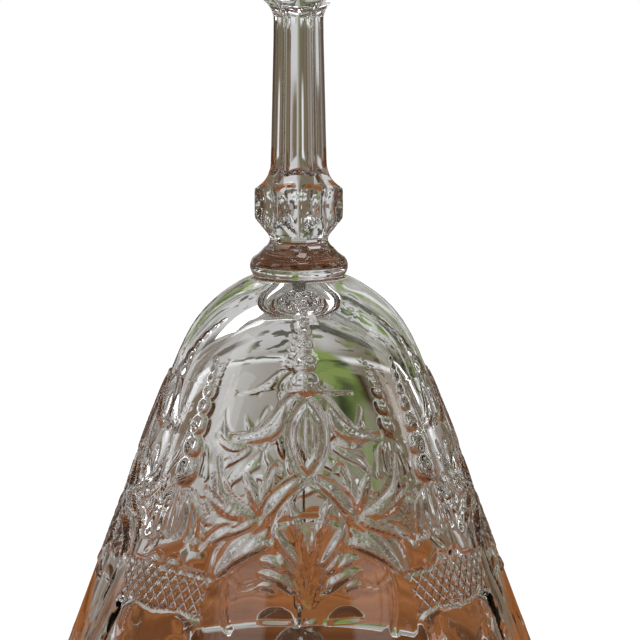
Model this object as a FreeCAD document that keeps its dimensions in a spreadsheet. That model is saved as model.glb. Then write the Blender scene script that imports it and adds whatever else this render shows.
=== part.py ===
import FreeCAD, Part
import math
import os
import re

import Sketcher

# Glass hand bell for the table.
#
# A thick pressed crystal cup, open downwards, carries a collar and a six-sided
# handle with a faceted knop at each end. Inside the crown a wire hook is set in
# clear cement. A cable chain hangs from the hook and carries the clapper: a
# glass ball on a wire pin, with a metal cap above it and a metal stop below it.
#
# Millimetres. The origin is the centre of the rim, on the table. +Z is up, and
# one flat panel of the handle faces -Y.

DOC = FreeCAD.newDocument("glass_bell")
SHEET = DOC.addObject("Spreadsheet::Sheet", "sizes")

LINKS = 12  # links in the clapper's chain
PANELS = 6  # flat panels round the handle

SIZES = [
    # cup, outside: a cone up to the shoulder, then two bends up to the seat
    ("rim_radius", 43.8),
    ("cup_height", 74.3),
    ("lip_round", 0.9),
    ("wall_end_radius", 24.6),
    ("wall_end_drop", 22.2),  # drops are measured down from the seat
    ("shoulder_radius", 20.4),
    ("shoulder_drop", 12.8),
    ("crown_radius", 12.6),
    ("crown_drop", 2.5),
    ("shoulder_bend", 20.0),
    ("crown_bend", 14.0),
    ("seat_radius", 7.8),
    # cup, inside
    ("rim_wall", 3.4),
    ("shoulder_wall", 4.1),
    ("crown_wall", 4.8),
    ("cavity_bend", 21.0),
    ("socket_radius", 1.1),
    ("socket_depth", 3.2),
    # collar
    ("collar_height", 5.1),
    ("collar_edge_height", 3.1),
    ("collar_edge_radius", 7.8),
    ("collar_edge_bend", 2.2),
    ("collar_top_radius", 5.6),
    ("collar_hollow", 6.0),
    # handle, from the collar up; radii reach the corners between the panels
    ("neck_radius", 5.2),
    ("neck_length", 2.1),
    ("knop_rise", 2.6),  # from the neck out to the knop's upright edges
    ("knop_edge", 5.0),  # length of an upright edge
    ("knop_radius", 7.45),
    ("flare_length", 4.0),  # from the knop in to the stem
    ("flare_hollow", 4.4),
    ("stem_foot_radius", 4.7),
    ("stem_top_radius", 4.1),
    ("stem_length", 24.4),
    ("finial_radius", 4.4),
    ("finial_rise", 3.7),
    # wirework
    ("hook_wire", 0.7),
    ("hook_bend", 1.2),
    ("hook_drop", 0.8),
    ("link_wire", 0.45),
    ("link_bend", 0.8),
    ("play", 0.06),  # gap between a link and the wire that it hangs on
    # clapper
    ("pin_wire", 0.7),
    ("pin_bend", 1.1),
    ("ball_radius", 5.0),
    ("ball_flat_radius", 1.3),
    ("ball_bore_gap", 0.05),
    ("cap_radius", 1.9),
    ("cap_height", 1.0),
    ("stop_radius", 1.1),
    ("stop_height", 1.2),
    ("table_gap", 1.8),
]

for row, (alias, number) in enumerate(SIZES, start=1):
    SHEET.set(f"A{row}", alias)
    SHEET.set(f"B{row}", str(number))
    SHEET.setAlias(f"B{row}", alias)
DOC.recompute()


def bound(text):
    """An expression on the sheet's names, spelled the way other objects read them."""
    aliases = {alias for alias, _ in SIZES}
    return re.sub("[a-z_]+", lambda w: f"sizes.{w[0]}" if w[0] in aliases else w[0], text)


def number(text):
    """The present value of an expression on the sheet's names."""
    found = SHEET.evalExpression(bound(text))
    return float(getattr(found, "Value", found))


# ---------------------------------------------------------------- outlines

ORIGIN_POINT = (-1, 1)


def plane_of(body, role):
    """One of the body's own origin planes."""
    return next(f for f in body.Origin.OriginFeatures if f.Role == role)


def arc_between(start, end, radius, side):
    """The anticlockwise arc that joins two points.

    side is -1 where the arc bulges to the right of the way from start to end,
    which is anticlockwise already, and +1 where it bulges to the left.
    """
    chord = end - start
    rise = math.sqrt(max(radius**2 - (chord.Length / 2) ** 2, 0.0))
    left = FreeCAD.Vector(-chord.y, chord.x, 0).normalize()
    centre = (start + end) * 0.5 - left * (side * rise)
    first, last = (start, end) if side < 0 else (end, start)
    angle_one = math.atan2(first.y - centre.y, first.x - centre.x)
    angle_two = math.atan2(last.y - centre.y, last.x - centre.x)
    if angle_two < angle_one:
        angle_two += 2 * math.pi
    whole = Part.Circle(centre, FreeCAD.Vector(0, 0, 1), radius)
    return Part.ArcOfCircle(whole, angle_one, angle_two)


def outline(body, name, role, corners):
    """A closed sketch on one of the body's planes, every size bound to the sheet.

    corners holds (x, y, bend) in order: x and y are expressions, and bend is None
    for a straight run to the next corner, or (radius expression, side).
    """
    sketch = body.newObject("Sketcher::SketchObject", name)
    sketch.AttachmentSupport = [(plane_of(body, role), "")]
    sketch.MapMode = "FlatFace"
    points = [FreeCAD.Vector(number(x), number(y), 0) for x, y, _ in corners]
    ends = []  # (geometry, its start point, its end point) along the outline
    for i, (_, _, bend) in enumerate(corners):
        start, end = points[i], points[(i + 1) % len(points)]
        if bend is None:
            sketch.addGeometry(Part.LineSegment(start, end), False)
            ends.append((i, 1, 2))
            continue
        sketch.addGeometry(arc_between(start, end, number(bend[0]), bend[1]), False)
        ends.append((i, 1, 2) if bend[1] < 0 else (i, 2, 1))
    for i, (x, y, bend) in enumerate(corners):
        shape, start, end = ends[i]
        following = ends[(i + 1) % len(ends)]
        sketch.addConstraint(
            Sketcher.Constraint("Coincident", shape, end, following[0], following[1])
       )
        bind(sketch, Sketcher.Constraint("DistanceX", *ORIGIN_POINT, shape, start, points[i].x), x)
        bind(sketch, Sketcher.Constraint("DistanceY", *ORIGIN_POINT, shape, start, points[i].y), y)
        if bend is not None:
            bind(sketch, Sketcher.Constraint("Radius", shape, number(bend[0])), bend[0])
    return sketch


def bind(sketch, constraint, text):
    """Adds a constraint whose size follows an expression on the sheet."""
    index = sketch.addConstraint(constraint)
    sketch.setExpression(f"Constraints[{index}]", bound(text))


def circle(body, name, role, x, radius):
    """A sketch with one circle, centred at x on the plane's first axis."""
    sketch = body.newObject("Sketcher::SketchObject", name)
    sketch.AttachmentSupport = [(plane_of(body, role), "")]
    sketch.MapMode = "FlatFace"
    centre = FreeCAD.Vector(number(x), 0, 0)
    sketch.addGeometry(Part.Circle(centre, FreeCAD.Vector(0, 0, 1), number(radius)), False)
    bind(sketch, Sketcher.Constraint("DistanceX", *ORIGIN_POINT, 0, 3, centre.x), x)
    bind(sketch, Sketcher.Constraint("DistanceY", *ORIGIN_POINT, 0, 3, 0.0), "0")
    bind(sketch, Sketcher.Constraint("Radius", 0, number(radius)), radius)
    return sketch


def new_body(label, height="0", turned=0.0):
    """A body whose own origin stands at a height, turned about Z by some degrees."""
    body = DOC.addObject("PartDesign::Body", label)
    body.Label = label
    turn = FreeCAD.Rotation(FreeCAD.Vector(0, 0, 1), turned)
    body.Placement = FreeCAD.Placement(FreeCAD.Vector(0, 0, number(height)), turn)
    body.setExpression("Placement.Base.z", bound(height))
    return body


def revolved(body, kind, name, corners):
    """Turns an outline on the XZ plane round Z, as a Revolution or a Groove."""
    profile = outline(body, name + "_outline", "XZ_Plane", corners)
    turned = body.newObject(f"PartDesign::{kind}", name)
    turned.Profile = profile
    turned.ReferenceAxis = (profile, ["V_Axis"])
    turned.Angle = 360.0
    return turned


def ring(body, name, bend, straight, wire):
    """A closed wire loop in the body's XZ plane, round its origin.

    bend is the radius of the wire's centre line at both ends, straight the length
    of its two straight legs (None for a round ring) and wire its diameter.
    """
    path = body.newObject("Sketcher::SketchObject", name + "_path")
    path.AttachmentSupport = [(plane_of(body, "XZ_Plane"), "")]
    path.MapMode = "FlatFace"
    reach = number(bend)
    if straight is None:
        path.addGeometry(
            Part.Circle(FreeCAD.Vector(0, 0, 0), FreeCAD.Vector(0, 0, 1), reach), False
       )
        path.addConstraint(Sketcher.Constraint("Coincident", 0, 3, *ORIGIN_POINT))
        bind(path, Sketcher.Constraint("Radius", 0, reach), bend)
    else:
        half = number(straight) / 2
        legs = [
            Part.LineSegment(FreeCAD.Vector(reach, -half, 0), FreeCAD.Vector(reach, half, 0)),
            arc_between(FreeCAD.Vector(reach, half, 0), FreeCAD.Vector(-reach, half, 0), reach, -1),
            Part.LineSegment(FreeCAD.Vector(-reach, half, 0), FreeCAD.Vector(-reach, -half, 0)),
            arc_between(FreeCAD.Vector(-reach, -half, 0), FreeCAD.Vector(reach, -half, 0), reach, -1),
        ]
        for leg in legs:
            path.addGeometry(leg, False)
        for first, second in ((0, 1), (1, 2), (2, 3), (3, 0)):
            path.addConstraint(Sketcher.Constraint("Tangent", first, 2, second, 1))
        path.addConstraint(Sketcher.Constraint("Vertical", 0))
        bind(path, Sketcher.Constraint("DistanceX", *ORIGIN_POINT, 0, 1, reach), bend)
        bind(path, Sketcher.Constraint("DistanceY", *ORIGIN_POINT, 0, 1, -half), f"0 - ({straight}) / 2")
        bind(path, Sketcher.Constraint("DistanceY", *ORIGIN_POINT, 0, 2, half), f"({straight}) / 2")
        bind(path, Sketcher.Constraint("Radius", 1, reach), bend)
    section = circle(body, name + "_section", "XY_Plane", bend, f"{wire} / 2")
    pipe = body.newObject("PartDesign::AdditivePipe", name)
    pipe.Profile = section
    pipe.Spine = path
    return pipe


# ---------------------------------------------------------------- heights

CAVITY_TOP = "(cup_height - crown_wall)"
HOOK_CENTRE = f"({CAVITY_TOP} - hook_drop - hook_bend)"
HOOK_LOW = f"({HOOK_CENTRE} - hook_bend)"  # centre of the wire that the chain hangs on
CHAIN_TOP = f"({HOOK_LOW} + (hook_wire + link_wire) / 2 + play)"

BALL_FLAT_RISE = "sqrt(ball_radius ^ 2 - ball_flat_radius ^ 2)"
BALL_CENTRE = f"(table_gap + stop_height + {BALL_FLAT_RISE})"
CAP_FOOT = f"({BALL_CENTRE} + {BALL_FLAT_RISE})"
PIN_CENTRE = f"({CAP_FOOT} + cap_height + pin_wire + pin_bend)"
CHAIN_FOOT = f"({PIN_CENTRE} + pin_bend - (pin_wire + link_wire) / 2 - play)"

# A link's reach is the height of its centre line. It is what fills the chain.
LINK_REACH = (
    f"(({CHAIN_TOP} - {CHAIN_FOOT} + {LINKS - 1} * (link_wire + play)) / {LINKS})"
)
LINK_PITCH = f"({LINK_REACH} - link_wire - play)"

COLLAR_TOP = "(cup_height + collar_height)"
KNOP_FOOT = f"({COLLAR_TOP} + neck_length)"
KNOP_TOP = f"({KNOP_FOOT} + knop_rise + knop_edge)"
STEM_FOOT = f"({KNOP_TOP} + flare_length)"
STEM_TOP = f"({STEM_FOOT} + stem_length)"
FINIAL_FOOT = f"({STEM_TOP} + flare_length)"
FINIAL_EDGE = f"({FINIAL_FOOT} + knop_edge)"

# ---------------------------------------------------------------- glass


def bell_cup():
    """The pressed cup: outside, cavity, and the blind socket for the hook."""
    body = new_body("bell_cup")
    revolved(
        body,
        "Revolution",
        "cup_outside",
        [
            ("0", "0", None),
            ("rim_radius - lip_round", "0", ("lip_round", -1)),
            ("rim_radius", "lip_round", None),
            ("wall_end_radius", "cup_height - wall_end_drop", None),
            ("shoulder_radius", "cup_height - shoulder_drop", ("shoulder_bend", -1)),
            ("crown_radius", "cup_height - crown_drop", ("crown_bend", -1)),
            ("seat_radius", "cup_height", None),
            ("0", "cup_height", None),
        ],
   )
    DOC.recompute()
    revolved(
        body,
        "Groove",
        "cup_cavity",
        [
            ("0", "0 - 1", None),
            ("rim_radius - rim_wall + lip_round", "0 - 1", None),
            ("rim_radius - rim_wall + lip_round", "0", ("lip_round", 1)),
            ("rim_radius - rim_wall", "lip_round", None),
            ("wall_end_radius - shoulder_wall", "cup_height - wall_end_drop", None),
            (
                "shoulder_radius - shoulder_wall",
                "cup_height - shoulder_drop - 0.6",
                ("cavity_bend", -1),
           ),
            ("socket_radius * 2", CAVITY_TOP, None),
            ("0", CAVITY_TOP, None),
        ],
   )
    DOC.recompute()
    revolved(
        body,
        "Groove",
        "hook_socket",
        [
            ("0", f"{CAVITY_TOP} - 0.5", None),
            ("socket_radius", f"{CAVITY_TOP} - 0.5", None),
            ("socket_radius", f"{CAVITY_TOP} + socket_depth", None),
            ("0", f"{CAVITY_TOP} + socket_depth", None),
        ],
   )
    return body


def collar():
    """The flattened gather of glass that joins the cup to the handle."""
    body = new_body("collar")
    revolved(
        body,
        "Revolution",
        "collar_turned",
        [
            ("0", "cup_height", None),
            ("seat_radius", "cup_height", ("collar_edge_bend", -1)),
            ("collar_edge_radius", "cup_height + collar_edge_height", ("collar_hollow", 1)),
            ("collar_top_radius", COLLAR_TOP, None),
            ("0", COLLAR_TOP, None),
        ],
   )
    return body


def apothem(radius):
    """Distance from the axis to a panel whose corners lie at a radius."""
    return f"({radius}) * cos(180 / {PANELS})"


def panelled(name, right_side):
    """What is inside all the panels: a slab's outline, turned round the axis.

    right_side is the outline's right half from foot to top, as corners of the
    outline function. The left half mirrors it.
    """
    left_side = []
    for i in range(len(right_side) - 1, -1, -1):
        x, y, _ = right_side[i]
        bend = right_side[i - 1][2] if i else None
        left_side.append((f"0 - ({x})", y, bend))
    slabs = []
    for turn in range(PANELS // 2):
        body = DOC.addObject("PartDesign::Body", f"{name}_slab_{turn}")
        body.Placement = FreeCAD.Placement(
            FreeCAD.Vector(), FreeCAD.Rotation(FreeCAD.Vector(0, 0, 1), 360.0 / PANELS * turn)
       )
        profile = outline(body, f"{name}_profile_{turn}", "YZ_Plane", right_side + left_side)
        pad = body.newObject("PartDesign::Pad", f"{name}_pad_{turn}")
        pad.Profile = profile
        pad.Midplane = True
        pad.setExpression("Length", bound("knop_radius * 4"))
        slabs.append(body)
    return slabs


def handle():
    """The six-sided handle: panels cut straight across, and the knops' corner facets."""
    panels = panelled(
        "panel",
        [
            (apothem("neck_radius"), COLLAR_TOP, None),
            (apothem("neck_radius"), KNOP_FOOT, None),
            (apothem("knop_radius"), f"{KNOP_FOOT} + knop_rise * 0.7", None),
            (apothem("knop_radius"), f"{KNOP_TOP} + 0.3", ("flare_hollow", 1)),
            (apothem("stem_foot_radius"), STEM_FOOT, None),
            (apothem("stem_top_radius"), STEM_TOP, ("flare_hollow", 1)),
            (apothem("knop_radius"), f"{FINIAL_FOOT} - 0.3", None),
            (apothem("knop_radius"), f"{FINIAL_EDGE} + 0.7", None),
            (apothem("finial_radius"), f"{FINIAL_EDGE} + finial_rise", None),
        ],
    )
    facets = panelled(
        "facet",
        [
            ("neck_radius + 0.2", COLLAR_TOP, None),
            ("neck_radius + 0.2", KNOP_FOOT, None),
            ("knop_radius", f"{KNOP_FOOT} + knop_rise", None),
            ("knop_radius", KNOP_TOP, ("flare_hollow", 1)),
            ("stem_foot_radius + 0.2", f"{KNOP_TOP} + flare_length * 0.8", None),
            ("stem_foot_radius + 0.2", f"{FINIAL_FOOT} - flare_length * 0.8", ("flare_hollow", 1)),
            ("knop_radius", FINIAL_FOOT, None),
            ("knop_radius", FINIAL_EDGE, None),
            ("finial_radius", f"{FINIAL_EDGE} + finial_rise", None),
        ],
    )
    for slab in facets:
        slab.Placement = FreeCAD.Placement(
            FreeCAD.Vector(), FreeCAD.Rotation(FreeCAD.Vector(0, 0, 1), 180.0 / PANELS)
       ).multiply(slab.Placement)
    cut = DOC.addObject("Part::MultiCommon", "handle")
    cut.Label = "handle"
    cut.Shapes = panels + facets
    return cut


# ---------------------------------------------------------------- wirework


def cement_plug():
    """Clear cement that fills the socket round the hook's shank."""
    body = new_body("cement_plug")
    revolved(
        body,
        "Revolution",
        "plug_turned",
        [
            ("hook_wire / 2", CAVITY_TOP, None),
            ("socket_radius", CAVITY_TOP, None),
            ("socket_radius", f"{CAVITY_TOP} + socket_depth", None),
            ("hook_wire / 2", f"{CAVITY_TOP} + socket_depth", None),
        ],
   )
    return body


def shank(body, name, foot, top, wire):
    """A straight upright wire on the body's axis."""
    return revolved(
        body,
        "Revolution",
        name,
        [
            ("0", foot, None),
            (f"{wire} / 2", foot, None),
            (f"{wire} / 2", top, None),
            ("0", top, None),
        ],
   )


def clapper_hook():
    """The wire hook in the crown: a round eye on a shank."""
    body = new_body("clapper_hook", HOOK_CENTRE)
    ring(body, "hook_eye", "hook_bend", None, "hook_wire")
    DOC.recompute()
    shank(body, "hook_shank", "hook_bend", "hook_bend + hook_drop + socket_depth", "hook_wire")
    return body


def chain_link(place):
    """One link of the chain, counted from 1 at the hook. Odd links stand across the hook."""
    centre = f"({CHAIN_TOP} - {LINK_REACH} / 2 - {place - 1} * {LINK_PITCH})"
    body = new_body(f"chain_link_{place:02d}", centre, 90.0 * (place % 2))
    ring(body, f"link_{place:02d}", "link_bend", f"{LINK_REACH} - 2 * link_bend", "link_wire")
    return body


# ---------------------------------------------------------------- clapper


def clapper_pin():
    """The wire pin: an eye at the top, and a shank down through cap, ball and stop."""
    body = new_body("clapper_pin", PIN_CENTRE, 90.0)
    ring(body, "pin_eye", "pin_bend", None, "pin_wire")
    DOC.recompute()
    shank(body, "pin_shank", f"table_gap - {PIN_CENTRE}", "0 - pin_bend", "pin_wire")
    return body


def clapper_ball():
    """The glass ball that strikes the cup, ground flat and drilled for the pin."""
    body = new_body("clapper_ball", BALL_CENTRE)
    bore = "pin_wire / 2 + ball_bore_gap"
    revolved(
        body,
        "Revolution",
        "ball_turned",
        [
            (bore, f"0 - {BALL_FLAT_RISE}", None),
            ("ball_flat_radius", f"0 - {BALL_FLAT_RISE}", ("ball_radius", -1)),
            ("ball_radius", "0", ("ball_radius", -1)),
            ("ball_flat_radius", BALL_FLAT_RISE, None),
            (bore, BALL_FLAT_RISE, None),
        ],
   )
    return body


def clapper_cap():
    """The small domed cap on the ball, under the pin's eye."""
    body = new_body("clapper_cap", CAP_FOOT)
    revolved(
        body,
        "Revolution",
        "cap_turned",
        [
            ("pin_wire / 2", "0", None),
            ("ball_flat_radius", "0", None),
            ("cap_radius", "cap_height * 0.2", ("cap_radius", -1)),
            ("pin_wire / 2 + 0.25", "cap_height", None),
            ("pin_wire / 2", "cap_height", None),
        ],
   )
    return body


def clapper_stop():
    """The bead that is peened on the pin's foot and holds the ball up."""
    body = new_body("clapper_stop", "table_gap")
    revolved(
        body,
        "Revolution",
        "stop_turned",
        [
            ("pin_wire / 2", "0", None),
            ("stop_radius * 0.6", "0", ("stop_radius * 0.7", -1)),
            ("stop_radius", "stop_height / 2", ("stop_radius * 0.7", -1)),
            ("stop_radius * 0.6", "stop_height", None),
            ("pin_wire / 2", "stop_height", None),
        ],
   )
    return body


# ---------------------------------------------------------------- the whole bell

PARTS = [bell_cup(), collar(), handle(), cement_plug(), clapper_hook()]
PARTS += [chain_link(place) for place in range(1, LINKS + 1)]
PARTS += [clapper_pin(), clapper_cap(), clapper_ball(), clapper_stop()]
DOC.recompute()

for thing in DOC.Objects:
    bad = {"Invalid", "Error"} & set(thing.State)
    if bad:
        raise RuntimeError(f"{thing.Label} is {bad}")

os.makedirs("parts", exist_ok=True)
for part in PARTS:
    if part.Shape.isNull() or not part.Shape.isValid() or part.Shape.Volume <= 0:
        raise RuntimeError(f"{part.Label} has no sound solid")
    part.Shape.exportStep(os.path.join("parts", part.Label + ".step"))
    box = part.Shape.BoundBox
    print(
        f"{part.Label}: {len(part.Shape.Solids)} solid, {part.Shape.Volume:.3f} mm3, "
        f"z {box.ZMin:.2f} to {box.ZMax:.2f}"
   )
print(f"chain: hook wire at {number(HOOK_LOW):.4f}, top {number(CHAIN_TOP):.4f}, reach {number(LINK_REACH):.4f}")
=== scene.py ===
import math

import bpy
import numpy as np
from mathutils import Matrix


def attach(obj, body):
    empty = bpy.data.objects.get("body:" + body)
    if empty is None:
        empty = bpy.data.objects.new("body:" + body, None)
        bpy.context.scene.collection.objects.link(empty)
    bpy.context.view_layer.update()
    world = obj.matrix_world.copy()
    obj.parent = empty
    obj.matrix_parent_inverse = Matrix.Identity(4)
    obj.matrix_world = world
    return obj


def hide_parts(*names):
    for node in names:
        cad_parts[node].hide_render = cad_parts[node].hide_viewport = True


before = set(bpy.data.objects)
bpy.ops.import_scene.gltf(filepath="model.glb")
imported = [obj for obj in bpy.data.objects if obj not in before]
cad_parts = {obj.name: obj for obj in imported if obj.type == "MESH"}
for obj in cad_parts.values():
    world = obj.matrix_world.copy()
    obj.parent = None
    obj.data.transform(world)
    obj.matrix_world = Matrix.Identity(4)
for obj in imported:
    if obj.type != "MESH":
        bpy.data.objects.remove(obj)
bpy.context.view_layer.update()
MM = 0.001

# ------------------------------------------------------------------ camera
# The bell is seen from the height of its handle, a little downwards, through a
# long lens, with the top knop and the rim outside the view.

EYE_DISTANCE, EYE_HEIGHT = 340.7, 121.2
LOOKS_DOWN, LOOKS_RIGHT = 9.1, 0.6  # degrees
camera = bpy.data.cameras.new("camera")
camera.sensor_width = 36.0
camera.lens = 114.1875
camera.clip_start = 0.01
eye = bpy.data.objects.new("camera", camera)
eye.location = (0.0, -EYE_DISTANCE * MM, EYE_HEIGHT * MM)
eye.rotation_euler = (math.radians(90.0 - LOOKS_DOWN), 0.0, math.radians(-LOOKS_RIGHT))
bpy.context.scene.collection.objects.link(eye)
bpy.context.scene.camera = eye


# --------------------------------------------------- floor, room and lights
# A plain white ground. What the glass bends into view is the rest of the room:
# the brown table it stands on, a pale wall behind with one green plant, darker
# furniture to the sides, and a few lamps.


class Value:
    """A number on a shader socket. Arithmetic on it adds Math nodes."""

    def __init__(self, finish, socket):
        self.finish, self.socket = finish, socket

    def __add__(self, other):
        return self.finish.sum("ADD", self, other)

    def __sub__(self, other):
        return self.finish.sum("SUBTRACT", self, other)

    def __mul__(self, other):
        return self.finish.sum("MULTIPLY", self, other)

    def __truediv__(self, other):
        return self.finish.sum("DIVIDE", self, other)

    def __rsub__(self, other):
        return self.finish.sum("SUBTRACT", other, self)


class Finish:
    """The node tree of one material or of the world, and the few ways to add to it."""

    def __init__(self, holder):
        holder.use_nodes = True
        self.tree = holder.node_tree
        self.tree.nodes.clear()

    def node(self, kind, settings=None, **sockets):
        """Adds a node: its settings first, then values or links for its sockets.

        A socket is named by its label with spaces as underscores, or by its
        place as i0, i1 and so on.
        """
        made = self.tree.nodes.new(kind)
        for key, setting in (settings or {}).items():
            setattr(made, key, setting)
        for key, given in sockets.items():
            numbered = key[0] == "i" and key[1:].isdigit()
            target = made.inputs[int(key[1:]) if numbered else key.replace("_", " ")]
            if isinstance(given, Value):
                self.tree.links.new(given.socket, target)
            elif isinstance(given, bpy.types.NodeSocket):
                self.tree.links.new(given, target)
            else:
                target.default_value = given
        return made

    def sum(self, operation, first, second):
        """One Math node."""
        made = self.node("ShaderNodeMath", {"operation": operation}, i0=first, i1=second)
        return Value(self, made.outputs[0])

    def step(self, value, low, high):
        """Rises smoothly from 0 at low to 1 at high."""
        made = self.node(
            "ShaderNodeMapRange", {"interpolation_type": "SMOOTHSTEP"}, Value=value,
            From_Min=low, From_Max=high,
        )
        return Value(self, made.outputs[0])

    def size(self, value):
        """A value without its sign."""
        return self.sum("ABSOLUTE", value, 0.0)

    def axes(self, where):
        """The x, y and z of a place or direction."""
        made = self.node("ShaderNodeSeparateXYZ", None, Vector=where)
        return [Value(self, made.outputs[i]) for i in range(3)]

    def noise(self, where, scale, detail=2.0, **sockets):
        """Soft noise between 0 and 1 at a place."""
        made = self.node(
            "ShaderNodeTexNoise", None, Vector=where, Scale=scale, Detail=detail, **sockets
        )
        return Value(self, made.outputs[0])

    def mix(self, share, first, second):
        """A colour between two colours."""
        made = self.node(
            "ShaderNodeMix", {"data_type": "RGBA"}, Factor=share, i6=first, i7=second
        )
        return made.outputs[2]


room = bpy.data.worlds.new("room")
bpy.context.scene.world = room
air = Finish(room)
gaze = air.node("ShaderNodeTexCoord").outputs["Generated"]
across, away, up = air.axes(gaze)
blotch = air.noise(gaze, 2.3, 3.0)
smudge = air.noise(gaze, 9.0, 3.0)
speckle = air.noise(gaze, 17.0, 2.0)
bearing = air.sum("ARCTAN2", across, away) + (smudge - 0.5) * 0.08


def between(value, low, high, soft):
    """1 from low to high, with soft edges, and 0 elsewhere."""
    ended = air.step(value, high - soft, high + soft)
    return air.step(value, low - soft, low + soft) * (1.0 - ended)


def patch(x, y, wide, tall, lean, soft):
    """1 inside a leaning ellipse on the wall behind the bell, and 0 outside it.

    x and y place it to the side and up, as slopes of the direction, wide and
    tall are its half sizes, and lean moves its top sideways. The distance from
    its middle is worked out as on a circle, in half sizes, and made ragged by
    some noise.
    """
    high = up / away - y
    side = across / away - x - high * lean
    off = air.sum("POWER", side * side * (1 / wide**2) + high * high * (1 / tall**2), 0.5)
    ragged = off + (smudge - 0.5) * 0.9
    return (1.0 - air.step(ragged, 1.0 - soft, 1.0 + soft)) * air.step(away, 0.2, 0.4)


def leaf_tone(share):
    """Dark or sunlit leaf green, by a share from 0 to 1."""
    return air.mix(share, (0.02, 0.035, 0.015, 1.0), (0.22, 0.31, 0.08, 1.0))


def stripes(under, parts, low, high, soft, colour):
    """Upright stripes of one colour on the wall, each from one bearing to another."""
    height = between(up, low, high, soft)
    covered = 0.0
    for left, right in parts:
        covered = between(bearing, left, right, 0.015) * height + covered
    return air.mix(air.sum("MINIMUM", covered, 1.0), under, colour)


# The room's parts are placed by bearing, in radians from straight behind the
# bell, and by the rise of the direction, from 0 on the level to 1 overhead.

BEIGE, PUTTY, OLIVE = (0.64, 0.64, 0.645, 1.0), (0.27, 0.25, 0.20, 1.0), (0.15, 0.125, 0.075, 1.0)
TAUPE, UMBER, SOOT = (0.19, 0.145, 0.10, 1.0), (0.035, 0.02, 0.013, 1.0), (0.05, 0.042, 0.034, 1.0)
LINEN, PAINT, SHEER = (0.66, 0.66, 0.67, 1.0), (0.85, 0.86, 0.88, 1.0), (0.7, 0.72, 0.75, 1.0)
SILL_PAINT, SKIRTING = (0.86, 0.86, 0.88, 1.0), (0.12, 0.06, 0.035, 1.0)
DAYLIGHT, CEILING = (2.4, 2.5, 2.6, 1.0), (0.26, 0.25, 0.235, 1.0)

aside = air.size(bearing)
lower_wall = 1.0 - air.step(up, 0.1, 0.35)
most_wall = 1.0 - air.step(up, 0.3, 0.55)

# The wall is pale on the left, darker from the middle on, and dark at the sides.
wall = air.mix(air.step(bearing, -0.24, 0.02) * lower_wall * 0.85, BEIGE, PUTTY)
wall = air.mix(between(bearing, 0.12, 1.5, 0.06) * most_wall * 0.85, wall, OLIVE)
wall = air.mix(air.step(aside + (blotch - 0.5) * 0.5, 0.42, 0.62) * 0.85, wall, TAUPE)
wall = air.mix(air.step(aside, 1.2, 1.8) * 0.9, wall, SOOT)

# Shelves and curtains at the sides.
folds = air.node("ShaderNodeCombineXYZ", None, X=bearing * 5.0, Y=up * 0.8).outputs[0]
slats = air.noise(folds, 1.0, 3.0)
wall = air.mix(air.step(slats, 0.52, 0.60) * air.step(aside, 0.3, 0.5) * 0.85, wall, UMBER)
curtain = air.step(slats, 0.44, 0.40) * between(bearing, -1.5, -0.42, 0.1)
wall = air.mix(curtain * 0.7, wall, LINEN)

# Foliage in front of the wall, sparse in the middle and dry at the sides.
calm = air.step(away, 0.1, 0.4) * (1.0 - air.step(across, 0.06, 0.16))
leaves = air.step(speckle, 0.49, 0.55) * between(up, 0.1, 0.85, 0.05) * (1.0 - calm)
dry = air.step(aside, 0.5, 0.9) * 0.8
wall = air.mix(leaves, wall, air.mix(dry, leaf_tone(air.step(smudge, 0.4, 0.65)), UMBER))
middle = between(across, -0.13, 0.11, 0.02) * between(up, 0.12, 0.8, 0.03)
sprigs = air.step(speckle, 0.51, 0.55) * middle
wall = air.mix(sprigs * 0.9, wall, leaf_tone(air.step(smudge, 0.5, 0.7)))

# Furniture legs and a white post, just under eye level.
wall = stripes(wall, [(-0.50, -0.38), (0.08, 0.14)], -0.16, -0.065, 0.01, UMBER)
wall = stripes(wall, [(-0.37, -0.2), (0.19, 0.29), (0.42, 1.2)], -0.16, -0.065, 0.01, TAUPE)
wall = stripes(wall, [(0.3, 0.37)], -0.16, -0.065, 0.01, PAINT)

# The sill, the ceiling, and the windows at the sides and behind the viewer.
sill = between(up, 0.05, 0.12, 0.03) * (1.0 - air.step(aside, 0.9, 1.3))
sill_tone = air.mix(air.step(speckle, 0.55, 0.6), SILL_PAINT, leaf_tone(smudge * 0.5))
wall = air.mix(sill, wall, sill_tone)
wall = air.mix(air.step(up, 0.55, 0.8), wall, CEILING)
wall = stripes(wall, [(2.2, 2.6), (-2.8, -2.3)], 0.1, 0.5, 0.05, SHEER)
wall = stripes(wall, [(-1.1, -0.98), (0.80, 0.84), (1.02, 1.06)], 0.14, 0.5, 0.01, DAYLIGHT)

# A dark branch, the green plant, and the tree outside.
wall = air.mix(patch(-0.3, 0.33, 0.10, 0.07, 0.5, 0.4) * 0.8, wall, UMBER)
plant = leaf_tone(air.step(smudge, 0.3, 0.55))
wall = air.mix(patch(0.06, 0.0, 0.045, 0.24, -0.12, 0.35), wall, plant)
tree = leaf_tone(air.step(smudge, 0.5, 0.8))
wall = air.mix(patch(0.22, 0.40, 0.16, 0.06, 0.2, 0.3) * 0.9, wall, tree)
scene_round = air.mix(air.step(up, -0.62, -0.5), SKIRTING, wall)

# Seen directly the room is plain white. Only the glass shows it as it is.
seen_by = air.node("ShaderNodeLightPath")
direct = air.node("ShaderNodeBackground", None, Color=(1.0, 1.0, 1.0, 1.0), Strength=1.0)
bent = air.node("ShaderNodeBackground", None, Color=scene_round, Strength=1.0)
both = air.node(
    "ShaderNodeMixShader", None,
    i0=seen_by.outputs["Is Camera Ray"], i1=bent.outputs[0], i2=direct.outputs[0],
)
air.node("ShaderNodeOutputWorld", None, Surface=both.outputs[0])

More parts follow.
